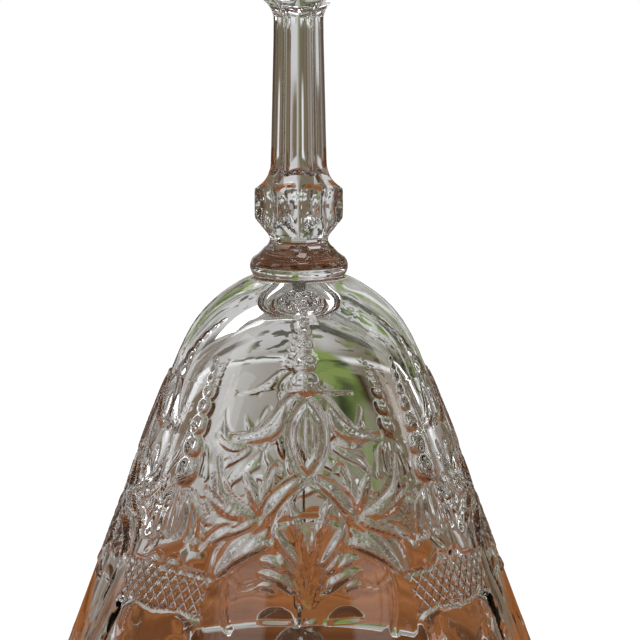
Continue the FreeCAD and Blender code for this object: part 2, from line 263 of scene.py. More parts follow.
REACH = 6.0  # half the floor's width, in metres
floor_mesh = bpy.data.meshes.new("floor")
floor_mesh.from_pydata(
    [(-REACH, -REACH, 0), (REACH, -REACH, 0), (REACH, REACH, 0), (-REACH, REACH, 0)],
    [], [(0, 1, 2, 3)],
)
floor = bpy.data.objects.new("floor", floor_mesh)
floor.location.z = -0.0002
bpy.context.scene.collection.objects.link(floor)
floor_finish = bpy.data.materials.new("pale_floor")
ground = Finish(floor_finish)
spot = ground.node("ShaderNodeTexCoord").outputs["Object"]
table_x, table_y, _ = ground.axes(spot)

# The table, which only the glass shows: brown wood with a long grain that glows
# by its own emission instead of being lit, with a painted shadow on its near side
# where the bell would shade it, and its far edge a little ragged.
DARK_WOOD, WARM_WOOD, PAINTED_SHADOW_WOOD = (
    (0.13, 0.040, 0.011, 1.0), (0.45, 0.175, 0.062, 1.0), (0.075, 0.028, 0.012, 1.0))
long_way = ground.node("ShaderNodeMapping", None, Vector=spot, Scale=(5.0, 60.0, 1.0))
grain = ground.noise(long_way.outputs[0], 1.0, 3.0)
cloud = ground.noise(spot, 14.0, 2.0)
warmth = ground.step(grain, 0.3, 0.72) * 0.65 + ground.step(cloud, 0.3, 0.7) * 0.35
brown = ground.mix(warmth, DARK_WOOD, WARM_WOOD)
# painted shadow: the wood's colour turns dark on the near side, under the bell
brown = ground.mix(ground.step(table_y, 0.062, 0.018), brown, PAINTED_SHADOW_WOOD)
# painted light: the table glows with its own colour instead of being lit by the lamps
glowing_board = ground.node("ShaderNodeEmission", None, Color=brown, Strength=1.0)
clear = ground.node("ShaderNodeBsdfTransparent")
nearer = 1.0 - ground.step(table_y + (cloud - 0.5) * 0.04, 0.115, 0.145)
on_table = nearer * (1.0 - ground.step(ground.size(table_x), 0.6, 0.62))
below = ground.node(
    "ShaderNodeMixShader", None, i0=on_table.socket, i1=clear.outputs[0], i2=glowing_board.outputs[0]
)

# The ground as it is seen directly: white, with a trace of shadow.
lit = ground.node("ShaderNodeBsdfDiffuse", None, Color=(0.9, 0.9, 0.9, 1.0))
even = ground.node("ShaderNodeEmission", None, Color=(1.0, 1.0, 1.0, 1.0), Strength=1.2)
matt = ground.node("ShaderNodeMixShader", None, i0=0.85, i1=lit.outputs[0], i2=even.outputs[0])
ray = ground.node("ShaderNodeLightPath")
stands = ground.node(
    "ShaderNodeMixShader", None, i0=ray.outputs["Is Camera Ray"],
    i1=below.outputs[0], i2=matt.outputs[0],
)
ground.node("ShaderNodeOutputMaterial", None, Surface=stands.outputs[0])
floor_mesh.materials.append(floor_finish)


def lamp(name, place, size, power):
    """A soft white lamp at a place, turned towards the middle of the cup, in metres and watts."""
    light = bpy.data.lights.new(name, "AREA")
    light.shape = "RECTANGLE"
    light.size, light.size_y = size
    light.energy = power
    holder = bpy.data.objects.new(name, light)
    holder.location = place
    way = np.array((0, 0, 0.06)) - np.array(place)
    flat = math.hypot(way[0], way[1])
    holder.rotation_euler = (math.atan2(flat, -way[2]), 0.0, math.atan2(-way[0], way[1]))
    bpy.context.scene.collection.objects.link(holder)


lamp("window_left", (-0.9, -0.35, 0.75), (0.3, 0.6), 0.8)
lamp("window_right", (0.95, 0.1, 0.55), (0.3, 0.5), 0.9)
lamp("lamp_back", (-0.25, 0.9, 0.8), (0.5, 0.25), 0.7)
lamp("lamp_top", (0.1, -0.2, 1.2), (0.3, 0.3), 1.4)

bpy.context.scene.view_settings.view_transform = "Standard"
cycles = bpy.context.scene.cycles
cycles.max_bounces = cycles.transmission_bounces = 24
cycles.glossy_bounces = 8
cycles.transparent_max_bounces = 16


# --------------------------------------------------------------- bell glass
# Cup, collar and handle are one piece of clear lead crystal, pressed in a mould
# with four equal ornaments round the cup, then fire-polished. The knops and the
# stem are ground on six sides, each side a little hollow.

TURN = math.radians(3.0)  # the first ornament looks this far to the right of -Y
FINE, PLAIN, COARSE = 576, 288, 144  # columns round the ornament, the cup, the rest
SAMPLE = 0.1  # mm between the samples that a profile is eased with


def distance_along(points):
    """Length of the line through some points, from the first up to each."""
    return np.concatenate([[0], np.cumsum(np.linalg.norm(np.diff(points, axis=0), axis=1))])


def softened(corners, spacing, blend):
    """Points along a profile of (radius, height) corners, evenly spaced, with its bends eased.

    The corners are joined straight and sampled finely. Each sample is then the
    mean of the samples within the blend length each side of it, or within the
    distance to the nearer end, and the result is sampled again at the spacing.
    """
    corners = np.array(corners, float)
    run = distance_along(corners)
    along = np.arange(0, run[-1], SAMPLE)
    dense = np.column_stack([np.interp(along, run, corners[:, i]) for i in (0, 1)])
    dense = np.vstack([dense, corners[-1]])
    half = max(int(blend / SAMPLE), 1)
    room_left = np.minimum(np.arange(len(dense)), np.arange(len(dense))[::-1])
    reach = np.minimum(room_left, half)
    total = np.vstack([[0, 0], np.cumsum(dense, axis=0)])
    place = np.arange(len(dense))
    eased = (total[place + reach + 1] - total[place - reach]) / (2 * reach + 1)[:, None]
    run = distance_along(eased)
    count = max(int(round(run[-1] / spacing)), 2)
    wanted = np.linspace(0, run[-1], count + 1)
    return np.column_stack([np.interp(wanted, run, eased[:, i]) for i in (0, 1)])


def arc(start, end, bend, count, bulge):
    """Points on an arc from start to end, with bend as its radius.

    Going up, it bulges away from the axis where bulge is 1 and curves in towards
    it where bulge is -1. Its centre lies on the chord's perpendicular, as far out
    as the radius and half the chord make it.
    """
    start, end = np.array(start, float), np.array(end, float)
    chord = end - start
    half = np.linalg.norm(chord) / 2
    inward = bulge * np.array([-chord[1], chord[0]]) / (2 * half)
    centre = (start + end) / 2 + inward * math.sqrt(bend**2 - half**2)
    first, last = (math.atan2(*(p - centre)[::-1]) for p in (start, end))
    swept = (last - first + math.pi) % (2 * math.pi) - math.pi
    turn = first + swept * np.linspace(0, 1, count)
    return centre + bend * np.column_stack([np.cos(turn), np.sin(turn)])


# The cup's outside, as (radius, height): a straight flare, then two arcs that turn
# it over to the seat of the collar.
WALL_FOOT, WALL_END, SHOULDER = (43.8, 0.9), (24.6, 52.1), (20.4, 61.5)
CROWN_EDGE, SEAT_EDGE = (12.6, 71.8), (7.8, 74.3)
outside_corners = np.vstack([
    [WALL_FOOT, WALL_END], arc(SHOULDER, CROWN_EDGE, 20.0, 16, 1),
    arc(CROWN_EDGE, SEAT_EDGE, 14.0, 16, 1)[1:],
])


def cup_radius(height):
    """Radius of the smooth cup at a height, before the ornament."""
    return np.interp(height, outside_corners[:, 1], outside_corners[:, 0])


# The ornament, drawn on one half of a quarter of the cup: each point is (degrees
# from the ornament's middle, height). Widths and depths are in mm, and a negative
# depth is cut into the glass.

RIBS = [
    # half width, height, points
    (0.53, 0.32, [
        (0, 57.3), (3.4, 58.0), (7.2, 57.4), (10.4, 55.9), (13.8, 54.0), (18.2, 52.4),
        (23.5, 51.5), (28.4, 51.2),
    ]),
    (0.40, 0.22, [
        (8.0, 56.6), (9.9, 54.6), (12.6, 52.5), (17.0, 51.4), (23.5, 51.0), (28.0, 51.1),
    ]),
    (0.38, 0.19, [(8.6, 56.0), (12.6, 53.4), (16.6, 50.4)]),
    (0.55, 0.38, [
        (0, 57.2), (3.6, 55.6), (6.0, 53.4), (6.4, 51.2), (5.0, 48.8), (2.4, 46.8),
        (0, 45.7), (-3.6, 44.4), (-6.9, 42.8), (-9.5, 40.8), (-11.2, 38.4), (-11.9, 36.0),
    ]),
    (0.40, 0.22, [(0.5, 46.2), (6.6, 44.9), (11.2, 43.2), (14.2, 41.4), (15.2, 39.8)]),
    (0.43, 0.27, [(15.0, 39.8), (14.4, 42.6), (13.2, 45.6), (11.4, 47.3), (9.8, 46.9)]),
    (0.38, 0.22, [(15.0, 39.8), (19.0, 40.6), (25.0, 42.2), (29.6, 44.4), (32.3, 47.9)]),
    (0.38, 0.22, [(15.0, 39.7), (22.0, 40.6), (29.0, 41.4), (35.0, 43.1)]),
    (0.38, 0.22, [(15.0, 39.7), (22.0, 38.9), (27.5, 37.6), (33.4, 34.4)]),
    (0.43, 0.24, [(15.0, 39.4), (19.0, 39.0), (25.0, 36.9), (28.6, 34.0), (29.6, 30.6)]),
    (0.45, 0.30, [(28.2, 30.0), (33.0, 30.2), (38.2, 30.6)]),
    (0.47, 0.32, [(38.2, 30.6), (40.6, 31.9), (43.0, 31.7), (45.0, 30.4), (47.0, 31.7)]),
    (0.47, 0.32, [(30.0, 24.0), (38.0, 24.6), (45.0, 24.0), (52.0, 24.6)]),
    (0.35, 0.19, [(23.2, 30.6), (18.7, 29.0), (14.0, 29.9)]),
    (0.40, 0.27, [(43.9, 43.2), (42.4, 42.0), (41.8, 39.2), (42.2, 35.8)]),
    (0.40, 0.27, [(43.9, 43.2), (44.4, 41.6), (44.2, 38.6), (43.6, 35.4)]),
    (0.40, 0.24, [(43.4, 43.0), (39.4, 41.2), (38.3, 38.0), (38.5, 35.4)]),
    (0.38, 0.24, [(43.4, 43.0), (38.0, 41.0), (35.4, 37.4), (33.2, 34.6)]),
    (0.33, 0.18, [(0, 26.6), (0.9, 31.0), (2.8, 37.0)]),
    (0.33, 0.18, [(0, 26.6), (1.8, 29.4), (2.9, 32.2)]),
    (0.33, 0.18, [(0, 26.6), (3.5, 28.6), (6.5, 31.4)]),
]

LEAVES = [
    # half width, depth, points from root to tip
    (1.32, -0.80, [(8.6, 56.4), (12.6, 53.1), (20.0, 51.6), (27.6, 51.2)]),
    (0.57, -0.42, [(0, 56.4), (0, 52.6), (0, 48.3)]),
    (0.52, -0.39, [(0.6, 56.0), (2.6, 53.4), (2.4, 49.8)]),
    (0.52, -0.39, [(1.0, 55.8), (4.3, 53.6), (4.5, 51.4)]),
    (0.98, -0.72, [(1.2, 45.4), (7.8, 43.3), (12.6, 40.6), (14.6, 38.9)]),
    (1.03, -0.67, [(15.0, 40.2), (17.8, 42.8), (21.6, 46.2)]),
    (0.86, -0.58, [(15.0, 40.0), (14.6, 43.2), (11.8, 46.4)]),
    (1.21, -0.77, [(16.0, 40.0), (24.0, 40.9), (30.5, 42.8), (32.3, 46.4)]),
    (1.21, -0.77, [(16.0, 39.7), (25.0, 40.1), (34.6, 42.4)]),
    (0.92, -0.67, [(16.0, 39.4), (23.0, 38.8), (31.0, 38.0)]),
    (1.15, -0.77, [(16.0, 39.1), (24.0, 37.6), (32.6, 34.8)]),
    (1.70, -1.10, [(11.8, 35.7), (17.6, 35.4), (23.0, 33.3), (28.0, 29.6)]),
    (0.98, -0.83, [(2.7, 36.4), (4.6, 39.4), (6.6, 42.3)]),
    (0.86, -0.77, [(2.9, 32.2), (7.6, 35.4), (11.2, 38.4)]),
    (0.83, -0.62, [(4.0, 31.2), (7.0, 32.8), (9.6, 34.8)]),
    (0.87, -0.77, [(6.2, 31.3), (10.6, 33.1), (14.8, 33.3)]),
    (1.15, -0.88, [(3.2, 28.6), (8.6, 30.9), (15.2, 31.4)]),
    (0.63, -0.49, [(9.2, 28.8), (12.0, 29.7), (15.2, 29.4)]),
    (0.52, -0.39, [(0.4, 33.0), (1.2, 35.6), (1.6, 38.6)]),
    (1.03, -0.77, [(28.6, 21.8), (33.0, 23.7), (39.0, 25.0)]),
    (0.86, -0.64, [(28.0, 19.8), (32.6, 21.8), (37.4, 22.6)]),
    (0.80, -0.47, [(42.6, 42.2), (40.2, 39.0), (40.0, 35.2)]),
    (0.80, -0.47, [(41.8, 42.2), (37.2, 39.8), (34.6, 35.6)]),
]

DROPS = [
    # degrees, height, half width, half length, depth
    (0, 70.2, 0.55, 0.55, 0.30), (0, 68.9, 0.72, 0.70, 0.40), (0, 67.2, 0.95, 0.92, 0.50),
    (0, 65.2, 1.20, 1.15, 0.64), (0, 62.7, 1.60, 1.50, 0.85), (0, 59.6, 2.15, 2.00, 1.10),
    (45, 62.2, 0.50, 0.50, 0.26), (45, 60.9, 0.60, 0.62, 0.32), (45, 59.4, 0.75, 0.80, 0.40),
    (45, 57.5, 0.95, 1.00, 0.50), (45, 55.2, 1.20, 1.25, 0.64), (45, 52.3, 1.65, 1.70, 0.85),
    (45, 48.9, 2.00, 1.95, 1.02), (45, 45.2, 2.35, 2.30, 1.15),
    (35.4, 34.6, 0.60, 0.60, 0.30), (0, 23.9, 1.40, 0.85, 0.45),
]


def curve_through(points, count=26):
    """Points on a smooth curve through the given ones.

    Between two of them the curve is the cubic whose slope at each is half the
    step from the one before it to the one after it.
    """
    points = np.array(points, float)
    padded = np.vstack([2 * points[0] - points[1], points, 2 * points[-1] - points[-2]])
    slope = (padded[2:] - padded[:-2]) / 2
    where = np.linspace(0, len(points) - 1, count)
    piece = np.minimum(where.astype(int), len(points) - 2)
    t = (where - piece)[:, None]
    a, b, m, n = points[piece], points[piece + 1], slope[piece], slope[piece + 1]
    return (
        a * (2 * t**3 - 3 * t**2 + 1) + m * (t**3 - 2 * t**2 + t)
        + b * (3 * t**2 - 2 * t**3) + n * (t**3 - t**2)
    )


SLANT = 1.067  # length along the cup's wall for each mm of height


def unrolled(degrees, height, middle, level):
    """Distances in mm round and up the cup from a point on it, as on a flat sheet.

    A degree is as wide as the cup is at the place in question, and a mm of
    height is a slanting mm.
    """
    round_it = (degrees - middle) * np.radians(1) * cup_radius(height)
    return round_it, (height - level) * SLANT


def ridge(off, half, tall):
    """Height of a rib at a distance off its middle line: half a cosine wave across."""
    return tall * np.where(off < half, np.cos(off / half * math.pi / 2), 0)


def nearest(degrees, height, points):
    """Distance in mm to a curve on the cup, the place along it, and the side of it.

    The place of the nearest point runs from 0 to 1 along the curve. The side is
    1 straight below the curve, -1 straight above it and 0 beside it. All three
    are worked out on the cup unrolled flat round each place in question, from
    the nearest of the curve's short straight pieces.
    """
    curve = curve_through(points)
    width = np.radians(1) * cup_radius(height)
    best = np.full(degrees.shape, 1e3)
    along, side = np.zeros(degrees.shape), np.zeros(degrees.shape)
    for i in range(len(curve) - 1):
        (d0, h0), (d1, h1) = curve[i], curve[i + 1]
        px, py = (degrees - d0) * width, (height - h0) * SLANT
        qx, qy = (d1 - d0) * width, (h1 - h0) * SLANT
        t = np.clip((px * qx + py * qy) / (qx * qx + qy * qy + 1e-12), 0, 1)
        away_from = np.hypot(px - t * qx, py - t * qy)
        closer = away_from < best
        best = np.where(closer, away_from, best)
        along = np.where(closer, (i + t) / (len(curve) - 1), along)
        side = np.where(closer, (t * qy - py) / np.maximum(away_from, 1e-6), side)
    return best, along, side


def stroke_length(points):
    """Length in mm of a curve on the cup."""
    curve = curve_through(points)
    middle = (curve[1:] + curve[:-1]) / 2
    wide = np.diff(curve[:, 0]) * np.radians(1) * cup_radius(middle[:, 1])
    return np.hypot(wide, np.diff(curve[:, 1]) * SLANT).sum()


def near_points(degrees, height, points, margin):
    """Which places are close enough to a curve to be touched by it."""
    points = np.array(points, float)
    spread = np.degrees(margin / np.maximum(cup_radius(height), 8))
    return (
        (degrees > points[:, 0].min() - spread - 1) & (degrees < points[:, 0].max() + spread + 1)
        & (height > points[:, 1].min() - margin - 1) & (height < points[:, 1].max() + margin + 1)
    )


KEEL = 0.6  # how far a leaf's deepest line lies from its middle, as a share
NOTCH_PITCH, NOTCH_DEPTH = 0.95, 0.08


def ornament(degrees, height):
    """How far the glass stands out from the smooth cup, in mm, at each place.

    Raised work takes the largest of its pieces and cut work the deepest. A leaf
    is a V across, deepest towards its lower edge. Its width runs as a sine from
    root to tip, and shallow notches cross it. A drop is a hollow bowl, a
    parabola both ways, which takes away the raised work that it meets.
    """
    raised, cut = np.zeros(degrees.shape), np.zeros(degrees.shape)
    for mirror in (1, -1):
        for half, tall, points in RIBS:
            here = near_points(mirror * degrees, height, points, half)
            off, _, _ = nearest(mirror * degrees[here], height[here], points)
            raised[here] = np.maximum(raised[here], ridge(off, half, tall))
        for half, deep, points in LEAVES:
            here = near_points(mirror * degrees, height, points, half)
            off, along, side = nearest(mirror * degrees[here], height[here], points)
            wide = half * np.sin(math.pi * np.clip(along, 0.02, 0.98) ** 0.8) ** 0.75
            place, keel = np.sign(side) * off / wide, KEEL * np.abs(side)
            slope = np.minimum((1 + place) / (1 + keel), (1 - place) / (1 - keel))
            notches = along * stroke_length(points) / NOTCH_PITCH
            notch = 1 + NOTCH_DEPTH * np.cos(2 * math.pi * notches)
            cut[here] = np.minimum(cut[here], deep * notch * wide / half * np.clip(slope, 0, 1))
        for middle, level, half, length, deep in DROPS:
            x, y = unrolled(mirror * degrees, height, middle, level)
            bowl = deep * np.clip(1 - np.hypot(x / half, y / length) ** 2, 0, 1)
            raised = np.where(bowl > 0, 0, raised)
            cut = np.minimum(cut, -bowl)
    raised = np.maximum(raised, lattice(degrees, height))
    raised = np.maximum(raised, medallion(degrees, height))
    return raised + cut - flutes(degrees, height)


LATTICE_PITCH, LATTICE_LEAN = 1.9, 0.72  # along the band, and sideways for each mm up
LATTICE_FOOT, LATTICE_MIDDLE, LATTICE_TOP = 24.2, 27.3, 30.6
LATTICE_EDGE, LATTICE_SLOPE = 37.8, 0.3  # its side edge: degrees, less this for each mm up
AHEAD = 100.0  # keeps lengths positive on either side of the lattice's middle


def lattice(degrees, height):
    """The raised lattice of small diamonds between two ornaments.

    Two families of parallel ribs cross at a slant on the cup unrolled flat. The
    finish sharpens the same ribs.
    """
    x, y = unrolled(degrees, height, 45, LATTICE_MIDDLE)
    inside = (height > LATTICE_FOOT) & (height < LATTICE_TOP)
    inside &= degrees + height * LATTICE_SLOPE > LATTICE_EDGE
    half = LATTICE_PITCH / 2
    ribs = 0.0
    for lean in (LATTICE_LEAN, -LATTICE_LEAN):
        off = np.abs((x + lean * y + AHEAD + half) % LATTICE_PITCH - half)
        ribs = np.maximum(ribs, ridge(off / math.hypot(1, lean), 0.5, 0.12))
    return np.where(inside, ribs, 0.0)


def medallion(degrees, height):
    """The thin ring round the palmette, and the two half-domes at its foot.

    The ring is every place 13.9 mm from the centre. A half-dome is the upper
    half of a low ellipsoid.
    """
    x, y = unrolled(degrees, height, 0, 26.6)
    ring = ridge(np.abs(np.hypot(x, y) - 13.9), 0.4, 0.2)
    side, rise = unrolled(degrees, height, 9.2, 24.2)
    spread = 1 - (side / 2.7) ** 2 - (rise / 2.2) ** 2
    dome = np.where(rise > 0, np.sqrt(np.clip(spread, 0, 1)), 0)
    return np.maximum(ring, 0.4 * dome)


def flutes(degrees, height):
    """Depth of the hollow thumb flutes below the lattice, two in each half ornament.

    A flute is a parabola across, with an arched top, and it fades out before
    the rim.
    """
    depth = np.zeros(degrees.shape)
    for middle, top in ((34.0, 20.6), (12.0, 10.4)):
        across_it = (degrees - middle) / 8.4
        arch = top - 4.6 * across_it**2
        fade = np.clip((arch - height) / 1.6, 0, 1) * np.clip((height - 3.0) / 3.0, 0, 1)
        depth = np.maximum(depth, 0.75 * np.clip(1 - across_it**2, 0, 1) * fade)
    return depth


def crowded(columns):
    """Columns round the bell, closer together at the strings of drops, every 45 degrees."""
    turn = np.arange(columns) / columns * 2 * math.pi
    return turn - 0.075 * np.sin(8 * (turn - TURN))


def round_ring(profile, columns):
    """Rings of points round the axis, one for each (radius, height) of a profile.

    Column 0 looks along -Y, and the columns run anticlockwise seen from above.
    """
    turn = np.arange(columns) / columns * 2 * math.pi
    return [
        np.column_stack([r * np.sin(turn), -r * np.cos(turn), np.full(columns, h)])
        for r, h in profile
    ]


def ornamented(profile, turn):
    """Rings with a column at each turn, moved out along the wall's normal by the ornament."""
    profile = np.array(profile)
    way = np.gradient(profile, axis=0)
    way /= np.linalg.norm(way, axis=1)[:, None]
    normal = np.column_stack([way[:, 1], -way[:, 0]])
    columns = len(turn)
    degrees = (np.degrees(turn - TURN) + 45) % 90 - 45
    grid_degrees = np.repeat(np.abs(degrees)[None, :], len(profile), axis=0)
    grid_height = np.repeat(profile[:, 1][:, None], columns, axis=1)
    stand = ornament(grid_degrees, grid_height)
    r = profile[:, 0][:, None] + stand * normal[:, 0][:, None]
    h = profile[:, 1][:, None] + stand * normal[:, 1][:, None]
    return [
        np.column_stack([r[i] * np.sin(turn), -r[i] * np.cos(turn), h[i]])
        for i in range(len(profile))
    ]


SIDES = 6


def cut_ring(height, panel, facet, groove, bowl, level):
    """One ring of the handle: six panels, with a narrow facet on each corner.

    panel and facet are their distances from the axis. The panel meets the facet
    at the angle where both lie equally far out, and the columns are shared so
    that one always runs along that edge. Each panel is hollowed by groove at
    its middle, as a parabola across. A bowl is ground into it as well, bowl
    deep at its middle, a parabola both ways, and level is how far the ring lies
    from the bowl's middle as a share of its half height.
    """
    corner = math.pi / SIDES
    # panel / cos(a) = facet / cos(corner - a), solved for a
    edge = math.atan2(facet / panel - math.cos(corner), math.sin(corner))
    edge = min(max(edge, 0.25 * corner), 0.93 * corner)
    half = np.concatenate([np.linspace(0, edge, 9)[:-1], np.linspace(edge, corner, 5)])
    share = (half / edge) ** 2
    dished = np.clip(1 - share, 0, 1) * groove + np.clip(1 - share - level**2, 0, 1) * bowl
    reach = np.minimum(panel / np.cos(half), facet / np.cos(corner - half)) - dished
    # the second half of a side mirrors the first
    sector = np.concatenate([half[:-1], (2 * corner - half[::-1])[:-1]])
    far = np.tile(np.concatenate([reach[:-1], reach[::-1][:-1]]), SIDES)
    turn = np.concatenate([sector + i * 2 * corner for i in range(SIDES)])
    return np.column_stack([far * np.sin(turn), -far * np.cos(turn), np.full(COARSE, height)])


FLAT = math.cos(math.pi / SIDES)
KNOP, FLARE = 7.45, 4.4  # radius over a knop's corners, and of the flares' hollows
COLLAR_TOP, KNOP_FOOT = 79.4, 81.5
KNOP_TOP, STEM_FOOT, STEM_TOP = 89.1, 93.1, 117.5
FINIAL_FOOT, FINIAL_EDGE, FINIAL_TOP = 121.5, 126.5, 130.2

# Distances from the axis up the handle, as (distance, height), of the panels'
# middles and of the corners' facets.

PANEL = softened(np.vstack([
    [(5.2, COLLAR_TOP - 1)],
    arc((5.3, COLLAR_TOP), (5.2, KNOP_FOOT), 1.6, 9, -1),
    [(KNOP * FLAT, KNOP_FOOT + 2.4)],
    arc((KNOP * FLAT, KNOP_TOP + 0.3), (4.7 * FLAT, STEM_FOOT), FLARE, 12, -1),
    arc((4.1 * FLAT, STEM_TOP), (KNOP * FLAT, FINIAL_FOOT - 0.3), FLARE, 12, -1),
    [(KNOP * FLAT, FINIAL_EDGE + 0.7), (4.4 * FLAT, FINIAL_TOP)],
]), 0.2, 0.8)
FACET = np.vstack([
    [(5.3, COLLAR_TOP - 1)],
    arc((5.4, COLLAR_TOP), (5.2, KNOP_FOOT), 1.6, 9, -1),
    [(KNOP, KNOP_FOOT + 2.6)],
    arc((KNOP, KNOP_TOP), (4.9, KNOP_TOP + 3.2), FLARE, 12, -1),
    arc((4.9, FINIAL_FOOT - 3.2), (KNOP, FINIAL_FOOT), FLARE, 12, -1),
    [(KNOP, FINIAL_EDGE), (4.4, FINIAL_TOP)],
])
GROOVE = np.array([
    (0.0, KNOP_FOOT), (0.1, KNOP_TOP), (0.55, STEM_FOOT), (0.5, STEM_TOP),
    (0.1, FINIAL_FOOT), (0.0, FINIAL_TOP),
])
BOWL, BOWL_HALF = 1.2, 4.6  # depth and half height of the bowls in the knops' panels


def at_height(profile, height):
    """A profile's distance at a height."""
    return np.interp(height, profile[:, 1], profile[:, 0])


def handle_rings():
    """Rings of the neck and the handle, up to the flat top.

    Heights lie close together where a knop or a flare turns, and a ring lies on
    every height where a panel or a facet changes its slope.
    """
    stretches = [
        # from, step
        (COLLAR_TOP, 0.35), (KNOP_FOOT, 0.23), (KNOP_FOOT + 2.4, 0.2), (KNOP_FOOT + 2.6, 0.4),
        (KNOP_TOP, 0.3), (KNOP_TOP + 0.3, 0.3), (STEM_FOOT, 3.0), (STEM_TOP, 0.3),
        (FINIAL_FOOT - 0.3, 0.3), (FINIAL_FOOT, 0.4), (FINIAL_EDGE, 0.35),
        (FINIAL_EDGE + 0.7, 0.25), (FINIAL_TOP, 0.0),
    ]
    heights = []
    for (low, step), (high, _) in zip(stretches[:-1], stretches[1:]):
        pieces = max(int(round((high - low) / step)), 1)
        heights += list(np.linspace(low, high, pieces + 1)[:-1])
    heights.append(FINIAL_TOP)
    rings = []
    for h in heights:
        bowl_middle = KNOP_FOOT + BOWL_HALF if h < 100 else FINIAL_FOOT + 3.0
        rings.append(cut_ring(
            h, at_height(PANEL, h), at_height(FACET, h), at_height(GROOVE, h),
            BOWL, (h - bowl_middle) / BOWL_HALF,
        ))
    return rings


def fan(first, count, pole):
    """Triangles from a ring of points, numbered from first, up to a pole."""
    j = np.arange(count)
    return np.column_stack([first + j, first + (j + 1) % count, np.full(count, pole)])


def joined(rings, name):
    """A closed mesh over a stack of rings, with a fan at each end.

    Two rings with equal columns are joined by quads. Where one has twice the
    columns of the other, each of its pairs of edges takes three triangles.
    """
    starts = np.concatenate([[0], np.cumsum([len(r) for r in rings])])
    points = np.vstack(rings)
    low_pole, high_pole = len(points), len(points) + 1
    points = np.vstack([points, rings[0].mean(axis=0), rings[-1].mean(axis=0)])
    quads, triangles = [], []
    for i in range(len(rings) - 1):
        n, m = len(rings[i]), len(rings[i + 1])
        a, b = starts[i], starts[i + 1]
        j = np.arange(min(n, m))
        k = (j + 1) % min(n, m)
        if n == m:
            quads.append(np.column_stack([a + j, a + k, b + k, b + j]))
            continue
        doubled, columns = (a, n) if n > m else (b, m)
        left, mid = doubled + 2 * j, doubled + 2 * j + 1
        right = doubled + (2 * j + 2) % columns
        if n > m:
            threes = (left, mid, b + j), (mid, b + k, b + j), (mid, right, b + k)
        else:
            threes = (a + j, mid, left), (a + j, a + k, mid), (a + k, right, mid)
        triangles += [np.column_stack(three) for three in threes]
    triangles.append(fan(0, len(rings[0]), low_pole)[:, ::-1])
    triangles.append(fan(starts[-2], len(rings[-1]), high_pole))
    quads, triangles = np.vstack(quads), np.vstack(triangles)
    mesh = bpy.data.meshes.new(name)
    mesh.vertices.add(len(points))
    mesh.vertices.foreach_set("co", (points * MM).ravel())
    corners = np.concatenate([quads.ravel(), triangles.ravel()]).astype(np.int32)
    mesh.loops.add(len(corners))
    mesh.loops.foreach_set("vertex_index", corners)
    sizes = np.concatenate([np.full(len(quads), 4), np.full(len(triangles), 3)]).astype(np.int32)
    mesh.polygons.add(len(sizes))
    mesh.polygons.foreach_set("loop_start", (np.cumsum(sizes) - sizes).astype(np.int32))
    mesh.update(calc_edges=True)
    mesh.validate()
    mesh.shade_smooth()
    return mesh


def sharpen(mesh, above, angle):
    """Makes the edges sharp that lie above a height and turn by more than an angle."""
    mesh.set_sharp_from_angle(angle=angle)
    ends = np.empty(len(mesh.edges) * 2, dtype=np.int32)
    mesh.edges.foreach_get("vertices", ends)
    place = np.empty(len(mesh.vertices) * 3)
    mesh.vertices.foreach_get("co", place)
    high = place.reshape(-1, 3)[ends.reshape(-1, 2), 2].min(axis=1) > above * MM
    sharp = mesh.attributes["sharp_edge"]
    flags = np.empty(len(mesh.edges), dtype=bool)
    sharp.data.foreach_get("value", flags)
    sharp.data.foreach_set("value", flags & high)


# The wall has three parts, by height: the plain flare, the ornament, whose mesh is
# the finest, and the shoulder with only the strings of drops.

inside = softened(
    [(2.2, 69.5), (7.5, 68.1), (11.9, 65.6), (14.6, 63.0), (16.3, 60.9), (20.5, 52.1), (40.4, 0.9)],
    1.8, 4.0,
)
lip = [(41.3, 0.0), (42.9, 0.0)]
ORNAMENT_FOOT, ORNAMENT_TOP, CROWN = 22.4, 58.6, 71.3
wall = softened(outside_corners, 0.40, 4.0)
level = wall[:, 1]
wall_mid = wall[(level > ORNAMENT_FOOT) & (level < ORNAMENT_TOP)]
wall_low = softened([WALL_FOOT, wall_mid[0]], 1.7, 0.1)[:-1]
wall_high = softened(wall[(level >= ORNAMENT_TOP) & (level < CROWN)], 0.32, 0.2)
crown = softened(np.vstack([wall_high[-1:], wall[level >= CROWN + 0.2]]), 0.7, 0.2)[1:]
collar_edge = arc((7.7, 74.5), (7.8, 77.4), 2.2, 11, 1)
collar_slope = arc((7.8, 77.4), (5.7, COLLAR_TOP), 6.0, 8, -1)[1:-1]
seat_and_collar = np.vstack([[(7.7, 74.3)], collar_edge, collar_slope])

even = np.arange(FINE) / FINE * 2 * math.pi
rings = round_ring(inside, COARSE) + round_ring(lip, PLAIN)
rings += ornamented(wall_low, even[::2]) + ornamented(wall_mid, even)
rings += ornamented(np.vstack([wall_high, crown]), crowded(PLAIN))[:-1]
rings += round_ring(seat_and_collar, COARSE) + handle_rings()
glass_mesh = joined(rings, "bell_glass")
sharpen(glass_mesh, COLLAR_TOP - 0.4, math.radians(12))
bell_glass = bpy.data.objects.new("bell_glass", glass_mesh)
bpy.context.scene.collection.objects.link(bell_glass)
print("bell glass triangles", sum(len(p.vertices) - 2 for p in glass_mesh.polygons))


